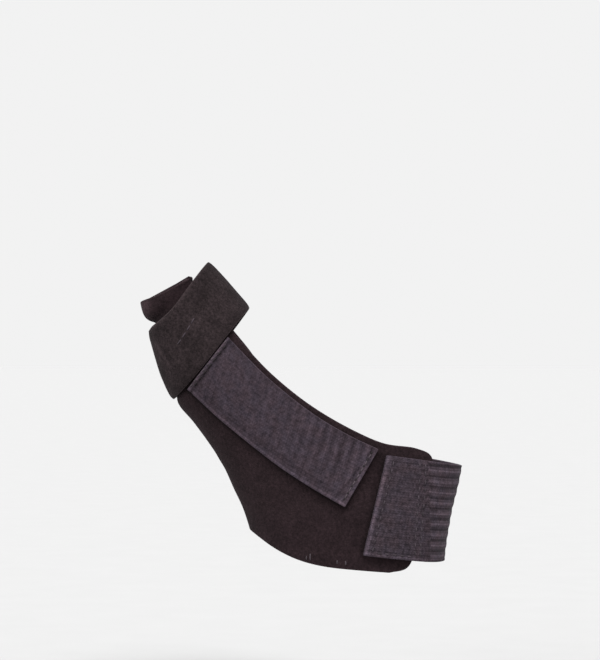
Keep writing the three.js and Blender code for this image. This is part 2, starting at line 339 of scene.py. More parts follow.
def body_patch(rows, rim_rows, columns):
    dorsal = body_edge(DORSAL_EDGE, DORSAL, RIM_DORSAL_ANGLE, rows, rim_rows)
    palmar = body_edge(PALMAR_EDGE, PALMAR, RIM_PALMAR_ANGLE, rows, rim_rows)
    across = np.linspace(0, 1, columns)[None, :]
    place = lerp(dorsal[0], palmar[0], across)
    angle = lerp(dorsal[1], palmar[1], across)
    hem = np.maximum(0, 1 - (place - place[:1]) / HEM_FADE) ** 2
    rim = np.maximum(0, (place - RIM_START) / (LAST_SECTION - RIM_START)) ** 2
    place = (
        place + HEM_RISE * hem * np.maximum(0, -np.cos(angle)) ** HEM_RISE_POWER
        - RIM_DIP * rim * np.maximum(0, np.sin(angle)) ** 2
    )
    points = form_point(SECTIONS, place, angle)
    weave = np.stack([distances(points, 1), distances(points, 0)], -1)
    patch = patch_at(place, angle, weave)
    neck = smoothstep(place, *NECK_EASE)[..., None]
    return patch._replace(normal=unit(lerp(patch.normal, eased(patch.normal, NECK_REACH), neck)))


def loop_patch(rows, columns):
    """The loop's own form, with normals stretched so that a lift within the oval's plane keeps clear,
    and the lifts of its inner and outer faces."""
    upward = np.linspace(LOOP_INSET_SHARE, 1 - LOOP_INSET_SHARE, rows)[:, None]
    angle = np.broadcast_to(np.linspace(0, 2 * math.pi, columns + 1)[None, :], (rows, columns + 1))
    thumbward = np.maximum(0, -np.cos(angle)) ** 2
    place = lerp(LOOP_CUT * thumbward, LOOP_UPPER_EDGE + LOOP_REACH * thumbward, upward)
    low = LOOP_INNER + LOOP_FLARE * thumbward * upward ** LOOP_FLARE_POWER
    taper = LOOP_EDGE_TAPER * np.abs(2 * upward - 1) ** LOOP_TAPER_POWER
    taper = taper + LOOP_HEM_TAPER * thumbward * (1 - upward) ** LOOP_TAPER_POWER
    high = low + LOOP_THICKNESS - taper
    row = row_at(LOOP_SECTIONS, place)
    width = unit(np.stack([row[..., 2] - row[..., 0], 0 * place, row[..., 3] - row[..., 1]], -1))
    plane = np.stack([-width[..., 2], 0 * place, width[..., 0]], -1)
    base = form_point(LOOP_SECTIONS, place, angle)
    normal = form_normal(LOOP_SECTIONS, place, angle)
    outward = normal - plane * np.sum(normal * plane, -1, keepdims=True)
    outward = outward / np.sum(outward ** 2, -1, keepdims=True)
    base = base + outward * softness(base)[..., None]
    weave = np.stack([distances(base, 1), distances(base, 0)], -1)
    return Patch(base[:, :-1], outward[:, :-1], weave, ring=True), low[:, :-1], high[:, :-1]


def thumb_strap_patch(rows, columns):
    end_inset, side_inset = (STRAP_INSET / size for size in THUMB_STRAP_NOMINAL)
    along = np.linspace(end_inset, 1 - end_inset, rows)[:, None]
    across = np.linspace(side_inset, 1 - side_inset, columns)[None, :]
    edge = row_at(THUMB_STRAP_ROWS, along[:, 0] * (len(THUMB_STRAP_ROWS) - 1))
    upper_x, upper_z, lower_x, lower_z = (edge[:, k][:, None] for k in range(4))
    x = lerp(lower_x, upper_x, across)
    z = lerp(lower_z, upper_z, across)
    place, angle = place_of_lifted(x, z, DORSAL, OVER_BODY + STRAP_THICKNESS)
    points = form_point(SECTIONS, place, angle) + OVER_BODY * form_normal(SECTIONS, place, angle)
    weave = np.stack([distances(points, 0), distances(points, 1)], -1)
    return patch_at(place, angle, weave)


def end_angle(end, z, side):
    """The angle at which the body panel ends, at heights of the front view."""
    x = lerp(end[0], end[2], (z - end[1]) / (end[3] - end[1]))
    _, angle = place_of_lifted(x, z, side, BODY_THICKNESS)
    return angle if side == DORSAL else 2 * math.pi - angle


def wrist_strap_patch(rows, columns):
    """The strap's patch, and the lift of its inner face over the two ends of the body panel."""
    side_inset = STRAP_INSET / WRIST_STRAP_NOMINAL_WIDTH
    across = np.linspace(side_inset, 1 - side_inset, rows)
    edge = row_at(WRIST_STRAP_EDGES, across)
    start_x, start_z, side_x, side_z = (edge[:, k][:, None] for k in range(4))

    def height_at(x):
        return lerp(start_z, side_z, (x - start_x) / (side_x - start_x))

    _, start = place_of_lifted(start_x, start_z, DORSAL, OVER_BODY)
    sewn_x = np.full_like(start_x, SEWN_X)
    _, sewn = place_of_lifted(sewn_x, height_at(SEWN_X), PALMAR, OVER_BODY)
    along = np.linspace(WRIST_END_SHARE, 1 - WRIST_END_SHARE, columns)[None, :]
    angle = lerp(sewn - 2 * math.pi, start, along)

    def is_below(middle):
        point = form_point(SECTIONS, middle, angle)
        return point[..., 2] < height_at(point[..., 0])

    place = search(angle.shape, is_below)
    z = form_point(SECTIONS, place, angle)[..., 2]
    leaving = np.where(
        angle > 0, end_angle(DORSAL_END, z, DORSAL), end_angle(PALMAR_END, z, PALMAR)
    ) - LEAVING_ANGLE
    low = lerp(BARE_CLEARANCE, OVER_BODY, smoothstep(np.abs(angle), LANDING_ANGLE, leaving))
    points = form_point(SECTIONS, place, angle) + low[..., None] * form_normal(SECTIONS, place, angle)
    weave = np.stack([distances(points, 1), distances(points, 0)], -1)
    return patch_at(place, angle, weave), low


# Meshes

# Numbers of the materials on a piece of cloth
OUTER_FACE = 0
EDGE_FACE = 1
INNER_FACE = 2
TAB_FACE = 3


def add_mesh(name, points, faces, kinds, materials, maps=None):
    """A smooth mesh in metres from points in millimetres. Kinds are the faces' material numbers."""
    mesh = bpy.data.meshes.new(name)
    mesh.from_pydata((np.asarray(points) * MM).tolist(), [], [list(map(int, face)) for face in faces])
    for material in materials:
        mesh.materials.append(material)
    mesh.polygons.foreach_set("material_index", np.asarray(kinds, np.int32))
    mesh.polygons.foreach_set("use_smooth", np.ones(len(mesh.polygons), bool))
    for map_name, coordinates in (maps or {}).items():
        layer = mesh.uv_layers.new(name=map_name)
        layer.uv.foreach_set("vector", np.asarray(coordinates, np.float32).ravel())
    mesh.update()
    piece = bpy.data.objects.new(name, mesh)
    bpy.context.scene.collection.objects.link(piece)
    return piece


def edge_loops(rows, columns, ring):
    """Grid places round the free edges. Each loop is closed on its first place, and comes with one of its
    places and the place inward of that."""
    if ring:
        upward = [(0, j) for j in range(columns + 1)]
        downward = [(rows - 1, j) for j in range(columns, -1, -1)]
        half = columns // 2
        return [(upward, (0, half), (1, half)), (downward, (rows - 1, half), (rows - 2, half))]
    loop = [(0, j) for j in range(columns)]
    loop += [(i, columns - 1) for i in range(1, rows)]
    loop += [(rows - 1, j) for j in range(columns - 2, -1, -1)]
    loop += [(i, 0) for i in range(rows - 2, -1, -1)]
    return [(loop, (0, columns // 2), (1, columns // 2))]


def cloth(name, patch, low, high, edge, materials, zone):
    """A closed piece of cloth: an outer face, an inner face and a shaped edge of (outward, share) rows.
    The zone is a grid of (light, dark) shares on the outer face."""
    rows, columns = patch.base.shape[:2]
    outer = patch.base + patch.normal * high[..., None]
    inner = patch.base + patch.normal * low[..., None]
    count = rows * columns
    points = [outer.reshape(-1, 3), inner.reshape(-1, 3)]
    spans = columns if patch.ring else columns - 1
    i, j = (grid.ravel() for grid in np.meshgrid(np.arange(rows - 1), np.arange(spans), indexing="ij"))
    corners = [(i, j), (i + 1, j), (i + 1, j + 1), (i, j + 1)]
    quads = np.stack([a * columns + b % columns for a, b in corners], -1)
    coordinates = np.stack([patch.weave[a, b] for a, b in corners], 1)
    faces = [quads, quads[:, ::-1] + count]
    weave = [coordinates, coordinates[:, ::-1]]
    zones = [np.stack([zone[a, b] for a, b in corners], 1), np.zeros_like(coordinates)]
    kinds = [np.full(len(quads), OUTER_FACE), np.full(len(quads), INNER_FACE)]
    made = 2 * count
    for loop, rim, inside in edge_loops(rows, columns, patch.ring):
        loop_i, loop_j = np.array(loop).T
        wrapped = loop_j % columns
        ids = loop_i * columns + wrapped
        steps = len(loop) - 1
        place = patch.base[loop_i, wrapped][:-1]
        tangent = unit(np.roll(place, -1, 0) - np.roll(place, 1, 0))
        outward = unit(np.cross(tangent, unit(patch.normal[loop_i, wrapped][:-1])))
        middle = loop.index(rim)
        if np.dot(outward[middle], patch.base[rim] - patch.base[inside]) < 0:
            outward = -outward
        inner_edge = inner.reshape(-1, 3)[ids[:-1]]
        outer_edge = outer.reshape(-1, 3)[ids[:-1]]
        rings = [ids]
        for out, share in edge:
            points.append(lerp(inner_edge, outer_edge, share) + outward * out)
            new = made + np.arange(steps)
            rings.append(np.append(new, new[0]))
            made += steps
        rings.append(ids + count)
        profile = np.array([(0, 1), *edge, (0, 0)]) * (1, np.median(high - low))
        reach = np.concatenate([[0], np.cumsum(np.linalg.norm(np.diff(profile, axis=0), axis=1))])
        flat = patch.weave[loop_i, loop_j]
        side = np.stack([(loop_j == columns - 1) * 1.0 - (loop_j == 0),
                         (loop_i == rows - 1) * 1.0 - (loop_i == 0)], -1)
        for k in range(len(rings) - 1):
            near, far = rings[k], rings[k + 1]
            faces.append(np.stack([near[:-1], near[1:], far[1:], far[:-1]], -1))
            near_flat = flat + side * reach[k]
            far_flat = flat + side * reach[k + 1]
            weave.append(np.stack([near_flat[:-1], near_flat[1:], far_flat[1:], far_flat[:-1]], 1))
            zones.append(np.zeros_like(weave[-1]))
            kinds.append(np.full(steps, EDGE_FACE))
    maps = {"Weave": np.vstack(weave), "Zone": np.vstack(zones)}
    return add_mesh(name, np.vstack(points), np.vstack(faces), np.concatenate(kinds), materials, maps)


# How far before a grid's count its last place is, so that each place has a next row and column
GRID_END = 1.001


def sample(grid, i, j):
    """Values of a grid at fractional rows and columns."""
    rows, columns = grid.shape[:2]
    i = np.clip(np.asarray(i, float), 0, rows - GRID_END)
    j = np.clip(np.asarray(j, float), 0, columns - GRID_END)
    row = i.astype(int)
    column = j.astype(int)
    upward = (i - row)[:, None]
    sideways = (j - column)[:, None]
    lower = lerp(grid[row, column], grid[row, column + 1], sideways)
    upper = lerp(grid[row + 1, column], grid[row + 1, column + 1], sideways)
    return lerp(lower, upper, upward)


STITCH_SIDES = 6
# Share along a stitch, height over the cloth and radius, in millimetres
STITCH_ROWS = ((0, -0.3, 0.16), (0.12, 0.0, 0.24), (0.35, 0.16, 0.27),
               (0.65, 0.16, 0.27), (0.88, 0.0, 0.24), (1, -0.3, 0.16))
HOLE_ROWS = ((0, -0.3, 0.46), (0.5, -0.26, 0.52), (1, -0.3, 0.46))


def stitch_row(path, normals, length, gap, profile=STITCH_ROWS):
    """Points and faces of separate stitches along a path on the cloth, in millimetres."""
    reach = distances(path[:, None, :], 0)[:, 0]
    count = max(1, int((reach[-1] + gap) / (length + gap)))
    starts = np.arange(count) * (length + gap) + (reach[-1] + gap - count * (length + gap)) / 2
    turn = np.linspace(0, 2 * math.pi, STITCH_SIDES, endpoint=False)
    points, faces = [], []
    for start in starts:
        at = [np.array([np.interp(start + share * length, reach, path[:, k]) for k in range(3)])
              for share, _, _ in profile]
        up = unit(np.array([np.interp(start + length / 2, reach, normals[:, k]) for k in range(3)]))
        side = unit(np.cross(at[-1] - at[0], up))
        first = len(points)
        for middle, (_, height, radius) in zip(at, profile):
            points += [middle + up * (height + radius * math.sin(angle)) + side * radius * math.cos(angle)
                       for angle in turn]
        for k in range(len(profile) - 1):
            near = first + k * STITCH_SIDES
            far = near + STITCH_SIDES
            for side_now in range(STITCH_SIDES):
                side_next = (side_now + 1) % STITCH_SIDES
                faces.append((near + side_now, near + side_next, far + side_next, far + side_now))
        faces.append(tuple(first + k for k in reversed(range(STITCH_SIDES))))
        last = first + (len(profile) - 1) * STITCH_SIDES
        faces.append(tuple(last + k for k in range(STITCH_SIDES)))
    return points, faces


def stitches(name, rows, material):
    """One mesh of several rows of stitches. Each row is a path, its normals, a length, a gap and, if it
    differs, a profile."""
    points, faces = [], []
    for row in rows:
        more_points, more_faces = stitch_row(*row)
        faces += [tuple(len(points) + corner for corner in face) for face in more_faces]
        points += more_points
    return add_mesh(name, np.array(points), faces, np.zeros(len(faces)), [material])


# Materials

# The span in which most values of a noise lie, and the faint gloss of cloth
NOISE_LOW = 0.3
NOISE_HIGH = 0.7
CLOTH_SPECULAR = 0.06


class Nodes:
    """Short calls for making a material's nodes."""

    def __init__(self, name):
        self.material = bpy.data.materials.new(name)
        self.material.use_nodes = True
        self.tree = self.material.node_tree
        self.shader = self.tree.nodes["Principled BSDF"]

    def add(self, kind, settings=None, **inputs):
        """A node with its settings and inputs by name. An underscore stands for a space."""
        node = self.tree.nodes.new(kind)
        for key, value in (settings or {}).items():
            setattr(node, key, value)
        for key, value in inputs.items():
            self.put(node.inputs[key.replace("_", " ")], value)
        return node

    def put(self, socket, value):
        if isinstance(value, bpy.types.NodeSocket):
            self.tree.links.new(value, socket)
        else:
            socket.default_value = value

    def math(self, operation, *values):
        node = self.tree.nodes.new("ShaderNodeMath")
        node.operation = operation
        for socket, value in zip(node.inputs, values):
            self.put(socket, value)
        return node.outputs[0]

    def noise(self, vector, scale, detail=2.0, roughness=0.5):
        node = self.add("ShaderNodeTexNoise", Vector=vector, Scale=scale, Detail=detail, Roughness=roughness)
        return node.outputs[0]

    def place(self):
        return self.add("ShaderNodeTexCoord").outputs["Object"]

    def map(self, name):
        node = self.add("ShaderNodeUVMap", {"uv_map": name})
        split = self.add("ShaderNodeSeparateXYZ", Vector=node.outputs[0])
        return split.outputs[0], split.outputs[1]

    def ripple(self, coordinate, pitch, start=0.0):
        """A wave along a coordinate in millimetres, 0 at the start and 1 half a pitch on."""
        turned = self.math("MULTIPLY_ADD", coordinate, 2 * math.pi / pitch, -2 * math.pi * start / pitch)
        return self.math("MULTIPLY_ADD", self.math("COSINE", turned), -0.5, 0.5)

    def ramp(self, factor, *stops):
        """Colours by factor, from (place, colour) stops."""
        node = self.add("ShaderNodeValToRGB", Fac=factor)
        elements = node.color_ramp.elements
        while len(elements) < len(stops):
            elements.new(1.0)
        for element, (where, colour) in zip(elements, stops):
            element.position = where
            element.color = (*colour, 1.0)
        return node.outputs[0]

    def scale(self, colour, factor):
        node = self.add("ShaderNodeVectorMath", {"operation": "SCALE"}, Vector=colour, Scale=factor)
        return node.outputs[0]

    def range(self, value, low, high, start=0.0, end=1.0):
        """A value moved from the span of start and end to that of low and high."""
        node = self.add(
            "ShaderNodeMapRange", Value=value, From_Min=start, From_Max=end, To_Min=low, To_Max=high)
        return node.outputs[0]

    def vary(self, colour, noise, share):
        """A colour made darker and lighter by a share, with a noise."""
        return self.scale(colour, self.range(noise, 1 - share, 1 + share, NOISE_LOW, NOISE_HIGH))

    def zoned(self, colour, light_tone, dark_tone):
        """A colour made lighter and darker by the zone map."""
        light, dark = self.map("Zone")
        lit = self.scale(colour, self.range(light, 1.0, light_tone))
        return self.scale(lit, self.range(dark, 1.0, dark_tone))

    def sheen(self, weight, roughness, tint):
        self.shader.inputs["Sheen Weight"].default_value = weight
        self.shader.inputs["Sheen Roughness"].default_value = roughness
        self.shader.inputs["Sheen Tint"].default_value = (*tint, 1.0)

    def finish(self, colour, roughness, height, bump_mm, strength, specular=CLOTH_SPECULAR):
        self.put(self.shader.inputs["Base Color"], colour)
        self.put(self.shader.inputs["Roughness"], roughness)
        self.shader.inputs["Specular IOR Level"].default_value = specular
        relief = self.add("ShaderNodeBump", Height=height, Strength=strength, Distance=bump_mm * MM)
        self.put(self.shader.inputs["Normal"], relief.outputs[0])
        return self.material


def shade(colour, factor):
    return tuple(part * factor for part in colour)


def tinted(colour, tint):
    return tuple(part * share for part, share in zip(colour, tint))


def pile_material(name, colour, clump_scale, grain, mottle, light_tone):
    """Brushed loop pile: fine tufts, with slow patches where the pile lies another way."""
    nodes = Nodes(name)
    place = nodes.place()
    tufts = nodes.noise(place, scale=1500, detail=3.0, roughness=0.6)
    clumps = nodes.noise(place, scale=clump_scale, detail=3.0, roughness=0.6)
    patches = nodes.noise(place, scale=120, detail=3.0, roughness=0.55)
    tone = nodes.ramp(tufts, (NOISE_LOW, shade(colour, 0.7)), (NOISE_HIGH, shade(colour, 1.3)))
    tone = nodes.vary(tone, clumps, grain)
    tone = nodes.vary(tone, patches, mottle)
    # The zone map's light share lightens marks, and its dark share paints shadow on the pile
    tone = nodes.zoned(tone, light_tone, dark_tone=0.4)
    nodes.sheen(weight=0.02, roughness=0.5, tint=(0.9, 0.82, 0.84))
    height = nodes.math("ADD", tufts, nodes.math("MULTIPLY", clumps, 0.8))
    return nodes.finish(tone, nodes.range(tufts, 0.86, 1.0), height, bump_mm=0.3, strength=0.8)


def lining_material(name, colour):
    """Fine warp-knit lining: narrow wales with a soft sheen."""
    nodes = Nodes(name)
    place = nodes.place()
    _, along = nodes.map("Weave")
    wales = nodes.ripple(along, pitch=0.9)
    tufts = nodes.noise(place, scale=900)
    tone = nodes.ramp(wales, (0.1, shade(colour, 0.72)), (0.9, shade(colour, 1.25)))
    tone = nodes.vary(tone, nodes.noise(place, scale=60), 0.15)
    nodes.sheen(weight=0.03, roughness=0.4, tint=(0.9, 0.85, 0.87))
    height = nodes.math("ADD", wales, tufts)
    return nodes.finish(tone, nodes.range(tufts, 0.7, 0.9), height, bump_mm=0.18, strength=0.7)


def foam_material(name, colour):
    """The cut edge of a laminate: open foam between two cut fabrics."""
    nodes = Nodes(name)
    place = nodes.place()
    pores = nodes.add("ShaderNodeTexVoronoi", Vector=place, Scale=2600.0).outputs["Distance"]
    fuzz = nodes.noise(place, scale=900, detail=3.0, roughness=0.6)
    tone = nodes.ramp(pores, (0.05, shade(colour, 0.6)), (0.6, shade(colour, 1.3)))
    tone = nodes.vary(tone, fuzz, 0.35)
    nodes.sheen(weight=0.03, roughness=0.5, tint=(0.9, 0.84, 0.86))
    return nodes.finish(tone, nodes.range(fuzz, 0.85, 1.0), pores, bump_mm=0.25, strength=0.8)


# Sway of the ribs as a share of their pitch, grooves to a rib, pitches of the yarns along and across it,
# and the tints of cooler and warmer patches
RIB_SWAY = 0.35
GROOVES_IN_RIB = 3
YARNS_ALONG = 1.15
YARNS_ACROSS = 0.92
COOL_TINT = (0.97, 1.01, 1.04)
WARM_TINT = (1.03, 0.99, 0.97)


def webbing_material(name, colour, rib_axis, rib_pitch, painted_rib_shade, grain):
    """Ribbed elastic: painted shade in the valleys between the ribs and in finer grooves, painted highlight
    on the rib tops, crossed by fine yarns. The axis is that of the weave map across the ribs. The zone map
    lightens the folds and darkens the seams, and also carries painted shade and highlight."""
    nodes = Nodes(name)
    place = nodes.place()
    weave = nodes.map("Weave")
    across = weave[rib_axis]
    along = weave[1 - rib_axis]
    sway = rib_pitch * RIB_SWAY
    swayed = nodes.math("MULTIPLY_ADD", nodes.noise(place, scale=90), sway, across)
    ribs = nodes.ripple(swayed, rib_pitch, sway / 2)
    grooves = nodes.ripple(across, rib_pitch / GROOVES_IN_RIB)
    painted_groove_shade = painted_rib_shade * 0.4
    yarns = nodes.math("MULTIPLY", nodes.ripple(along, YARNS_ALONG), nodes.ripple(across, YARNS_ACROSS))
    fibres = nodes.noise(place, scale=820, detail=3.0, roughness=0.62)
    patches = nodes.noise(place, scale=140)
    hue = nodes.noise(place, scale=260)
    tone = nodes.ramp(hue, (0.35, tinted(colour, COOL_TINT)), (0.65, tinted(colour, WARM_TINT)))
    # Painted shade in the rib valleys and the finer grooves, and painted highlight on the rib tops
    tone = nodes.scale(tone, nodes.range(ribs, 1 - painted_rib_shade, 1 + painted_rib_shade * 0.8))
    tone = nodes.scale(tone, nodes.range(grooves, 1 - painted_groove_shade, 1 + painted_groove_shade))
    tone = nodes.scale(tone, nodes.range(yarns, 0.9, 1.16))
    tone = nodes.vary(tone, fibres, grain)
    tone = nodes.vary(tone, patches, 0.1)
    tone = nodes.zoned(tone, light_tone=2.0, dark_tone=0.6)
    nodes.sheen(weight=0.02, roughness=0.45, tint=(0.86, 0.84, 0.92))
    height = nodes.math("ADD", nodes.math("MULTIPLY", yarns, 0.7), fibres)
    return nodes.finish(tone, nodes.range(fibres, 0.7, 0.92), height, bump_mm=0.25, strength=0.8)


def thread_material(name, colour):
    """Spun sewing thread with a fine twist."""
    nodes = Nodes(name)
    place = nodes.place()
    twist = nodes.noise(place, scale=2600)
    tone = nodes.ramp(twist, (NOISE_LOW, shade(colour, 0.7)), (NOISE_HIGH, shade(colour, 1.3)))
    tone = nodes.vary(tone, nodes.noise(place, scale=420, detail=1.0), 0.3)
    nodes.sheen(weight=0.03, roughness=0.4, tint=(0.9, 0.9, 0.95))
    return nodes.finish(
        tone, nodes.range(twist, 0.5, 0.75), twist, bump_mm=0.08, strength=0.6, specular=0.2)


BODY_COLOUR = (0.0155, 0.0095, 0.0109)
LOOP_COLOUR = (0.0183, 0.0131, 0.0141)
STRAP_COLOUR = (0.0342, 0.0251, 0.0321)
WRIST_STRAP_COLOUR = (0.0356, 0.0264, 0.0331)
DARK_THREAD_COLOUR = (0.011, 0.008, 0.009)
LIGHT_THREAD_COLOUR = (0.052, 0.04, 0.047)

# Pitches of the ribs in millimetres, and how far the thumb strap's ribs lean for each millimetre across
THUMB_RIB = 3.9
WRIST_RIB = 4.06
TAB_RIB = 1.9
SELVAGE_RIB = 1.2
THUMB_RIB_SLANT = 0.35

body_pile = pile_material("body_pile", BODY_COLOUR, clump_scale=800, grain=0.3, mottle=0.16, light_tone=2.2)
body_lining = lining_material("body_lining", shade(BODY_COLOUR, 1.25))
body_foam = foam_material("body_cut_edge", shade(BODY_COLOUR, 1.3))
loop_pile = pile_material("loop_pile", LOOP_COLOUR, clump_scale=950, grain=0.45, mottle=0.3, light_tone=2.0)
loop_edge = foam_material("loop_cut_edge", shade(LOOP_COLOUR, 1.5))
thumb_rib = webbing_material(
    "thumb_strap_rib", STRAP_COLOUR, rib_axis=0, rib_pitch=THUMB_RIB, painted_rib_shade=0.07, grain=0.42)
wrist_rib = webbing_material(
    "wrist_strap_rib", shade(WRIST_STRAP_COLOUR, 1.36), rib_axis=1, rib_pitch=WRIST_RIB, painted_rib_shade=0.46,
    grain=0.42)
wrist_tab = webbing_material(
    "wrist_strap_tab", WRIST_STRAP_COLOUR, rib_axis=1, rib_pitch=TAB_RIB, painted_rib_shade=0.08, grain=0.5)
selvage = webbing_material(
    "strap_selvage", shade(STRAP_COLOUR, 1.45), rib_axis=0, rib_pitch=SELVAGE_RIB, painted_rib_shade=0.1, grain=0.3)
dark_thread = thread_material("dark_thread", DARK_THREAD_COLOUR)
light_thread = thread_material("light_thread", LIGHT_THREAD_COLOUR)
grey_thread = thread_material("grey_thread", shade(WRIST_STRAP_COLOUR, 1.12))


# Pieces

# Edges of the cloths: rows of millimetres outward and a share from the inner to the outer face
LAMINATE_EDGE = ((0.22, 0.97), (0.38, 0.91), (0.42, 0.83), (0.26, 0.77), (0.33, 0.66), (0.36, 0.5),
                 (0.33, 0.34), (0.26, 0.23), (0.42, 0.17), (0.38, 0.09), (0.22, 0.03))
CLOTH_EDGE = ((0.17, 0.96), (0.28, 0.82), (0.3, 0.5), (0.28, 0.18), (0.17, 0.04))

# Places in the front view, x and z: the rim's lighter tip, and the seams and the lighter patch of the loop
RIM_TIP = [(-79.6, 80.5), (-79.2, 77.0)]
LOOP_SEAM = [(-59.5, 73.7), (-66.4, 63.4)]
LOOP_END_SEAM = [(-74.4, 63.6), (-69.4, 55.2)]
LOOP_LIGHT_PATCH = [(-56.1, 79.0), (-49.3, 73.7)]

# Short thread tacks on the hem: x, upper z and lower z in the front view
HEM_TACKS = (
    (-15.7, -14.6, -17.4),
    (-17.1, -15.6, -17.2),
    (-5.7, -17.0, -18.6),
    (-2.5, -17.2, -19.0),
)

# Seams of the thumb strap in millimetres: over the hem's fold and behind it, from the loop end, and a third
# one from the free end
STRAP_FOLD_SEAM = 0.5
STRAP_HEM_SEAM = 1.7
STRAP_END_SEAM = 2.8

# The tab at the wrist strap's free end: x of its inner side, half the width of the change to ribs, and its
# seams in millimetres from the free end and from the lower edge
TAB_SIDE_X = 26.5
TAB_BLEND = 0.6
TAB_END_SEAM = 2.6
TAB_LOWER_SEAM = 2.2

# Lengths and gaps of the stitches and of the holes beside them, in millimetres
TACK_GAP = 0.5
LOOP_STITCH = (2.6, 0.6)
FOLD_STITCH = (1.8, 0.9)
HEM_STITCH = (2.2, 0.8)
END_STITCH = (1.9, 1.0)
END_HOLE = (0.8, 2.1)
WRIST_STITCH = (1.8, 1.2)
WRIST_HOLE = (1.0, 2.0)

# Points along the thumb strap's lower edge, and along the lines of stitches
EDGE_POINTS = 33
SHORT_POINTS = 24
STRAP_POINTS = 60
WRIST_POINTS = 80


def bump(distance, width):
    """A rounded bump of height 1 about a distance of 0."""
    return np.exp(-(distance / width) ** 2)


def band(distance, start, end):
    """A band along an edge: 1 at the edge, falling to 0 between two distances from it."""
    return 1 - smoothstep(distance, start, end)


def rib_wave(distance, pitch):
    """Ribs of height 1, with a valley at a distance of 0."""
    return 0.5 - 0.5 * np.cos(2 * math.pi * distance / pitch)


def zone_shares(light, dark):
    return np.clip(np.stack([light, dark], -1), 0, 1)


def off_path(points, path):
    """Distances in the front view from points to a path of x and z places, in millimetres."""
    path = np.array(path, float)
    flat = points[..., (0, 2)]
    nearest = np.full(flat.shape[:-1], np.inf)
    for start, end in zip(path[:-1], path[1:]):
        along = end - start
        share = np.clip((flat - start) @ along / np.dot(along, along), 0, 1)
        nearest = np.minimum(nearest, np.linalg.norm(flat - start - share[..., None] * along, axis=-1))
    return nearest


def dress(piece, node, with_pieces):
    for part in (piece, *with_pieces):
        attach(part, "root")
    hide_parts(node)


body = body_patch(*BODY_GRID)
body_high = np.full(body.base.shape[:2], BODY_THICKNESS)
body_outer = body.base + body.normal * BODY_THICKNESS
strap_places = np.linspace(0, len(THUMB_STRAP_ROWS) - 1, EDGE_POINTS)
strap_lower_edge = row_at(THUMB_STRAP_ROWS, strap_places)[:, 2:]
wrist_free_edge = WRIST_STRAP_EDGES[:, :2]
on_back = body.normal[..., 1] < 0
# The tip of the rim is lighter, and painted shadow darkens the pile along the edges of the straps that lie on
# it
body_light = bump(off_path(body_outer, RIM_TIP), 2.6)
body_painted_shadow = on_back * (
    bump(off_path(body_outer, strap_lower_edge), 1.0)
    + 0.7 * bump(off_path(body_outer, wrist_free_edge), 1.0)
)
body_piece = cloth(
    "body_panel_cloth", body, 0 * body_high, body_high, LAMINATE_EDGE, [body_pile, body_foam, body_lining],
    zone_shares(body_light, body_painted_shadow))

loop, loop_low, loop_high = loop_patch(*LOOP_GRID)
loop_outer = loop.base + loop.normal * loop_high[..., None]
loop_v = loop.weave[:, :-1, 1]
loop_front = loop.normal[..., 1] < 0
# The two seams, a patch and the upper edge are lighter
loop_light = loop_front * (
    0.3 * bump(off_path(loop_outer, LOOP_SEAM), 0.8)
    + 0.8 * bump(off_path(loop_outer, LOOP_END_SEAM), 0.6)
    + 0.18 * bump(off_path(loop_outer, LOOP_LIGHT_PATCH), 2.2)
) + 0.3 * band(loop_v[-1] - loop_v, 0.5, 1.1)
loop_zone = zone_shares(loop_light, 0 * loop_light)
loop_piece = cloth(
    "thumb_loop_cloth", loop, loop_low, loop_high, CLOTH_EDGE, [loop_pile, loop_edge, loop_pile],
    np.concatenate([loop_zone, loop_zone[:, :1]], 1))

strap = thumb_strap_patch(*THUMB_STRAP_GRID)
strap_u, strap_v = strap.weave[..., 0], strap.weave[..., 1]
strap_length = strap_u[-1].mean()
strap_width = strap_v[:, -1].mean()
to_upper = strap_width - strap_v
to_side = np.minimum(strap_v, to_upper)
to_end = strap_length - strap_u
rib_u = strap_u - THUMB_RIB_SLANT * to_upper
strap_ribs = rib_wave(rib_u, THUMB_RIB)
# Where the ribs get painted shade in their valleys and a painted highlight on their tops
painted_rib_area = smoothstep(strap_u, 24.0, 62.0) * smoothstep(strap_v, 3.0, 19.0)
ribbed = smoothstep(strap_u, 3.0, 5.0) * smoothstep(to_end, 0.8, 2.4) * smoothstep(to_side, 0.5, 1.6)
# Relief in millimetres: the ribs, the hem's fold and seam, the end's fold and seam, the lower crease and the
# selvages
strap_relief = (
    0.12 * (strap_ribs - 1) * ribbed
    + 0.2 * band(strap_u, 0.7, 1.2)
    - 0.4 * bump(strap_u - STRAP_HEM_SEAM, 0.5)
    + 0.16 * band(to_end, 3.6, 4.6)
    - 0.25 * bump(to_end - STRAP_END_SEAM, 0.45)
    - 0.14 * bump(strap_v - 2.6, 1.1)
    + 0.08 * band(to_side, 0.6, 1.2)
)
# Lighter: the hem's fold, the free end, the lower selvage, a painted highlight on the cloth near the free
# end, and a painted highlight on the ribs
strap_light = (
    0.5 * band(strap_u, 0.7, 1.1)
    + 0.45 * band(to_end, 0.8, 1.4)
    + 0.4 * band(strap_v, 0.7, 1.2)
    + 0.15 * band(to_end, 4.0, 12.0)
    + 0.22 * strap_ribs * painted_rib_area
)
# Darker: painted shade in the grooves of the two seams and in the crease, the upper selvage, and painted
# shade in the valleys between the ribs
strap_dark = (
    bump(strap_u - STRAP_HEM_SEAM, 0.6)
    + 0.5 * bump(to_end - STRAP_END_SEAM, 0.5)
    + 0.45 * bump(strap_v - 2.8, 1.3)
    + 0.4 * band(to_upper, 0.3, 1.2)
    + 0.55 * (1 - strap_ribs) * painted_rib_area
)
strap_low = np.full(strap_u.shape, OVER_BODY)
strap_high = strap_low + STRAP_THICKNESS + strap_relief
strap_piece = cloth(
    "thumb_strap_cloth", strap._replace(weave=np.stack([rib_u, strap_v], -1)), strap_low, strap_high,
    CLOTH_EDGE, [thumb_rib, selvage, thumb_rib], zone_shares(strap_light, strap_dark))

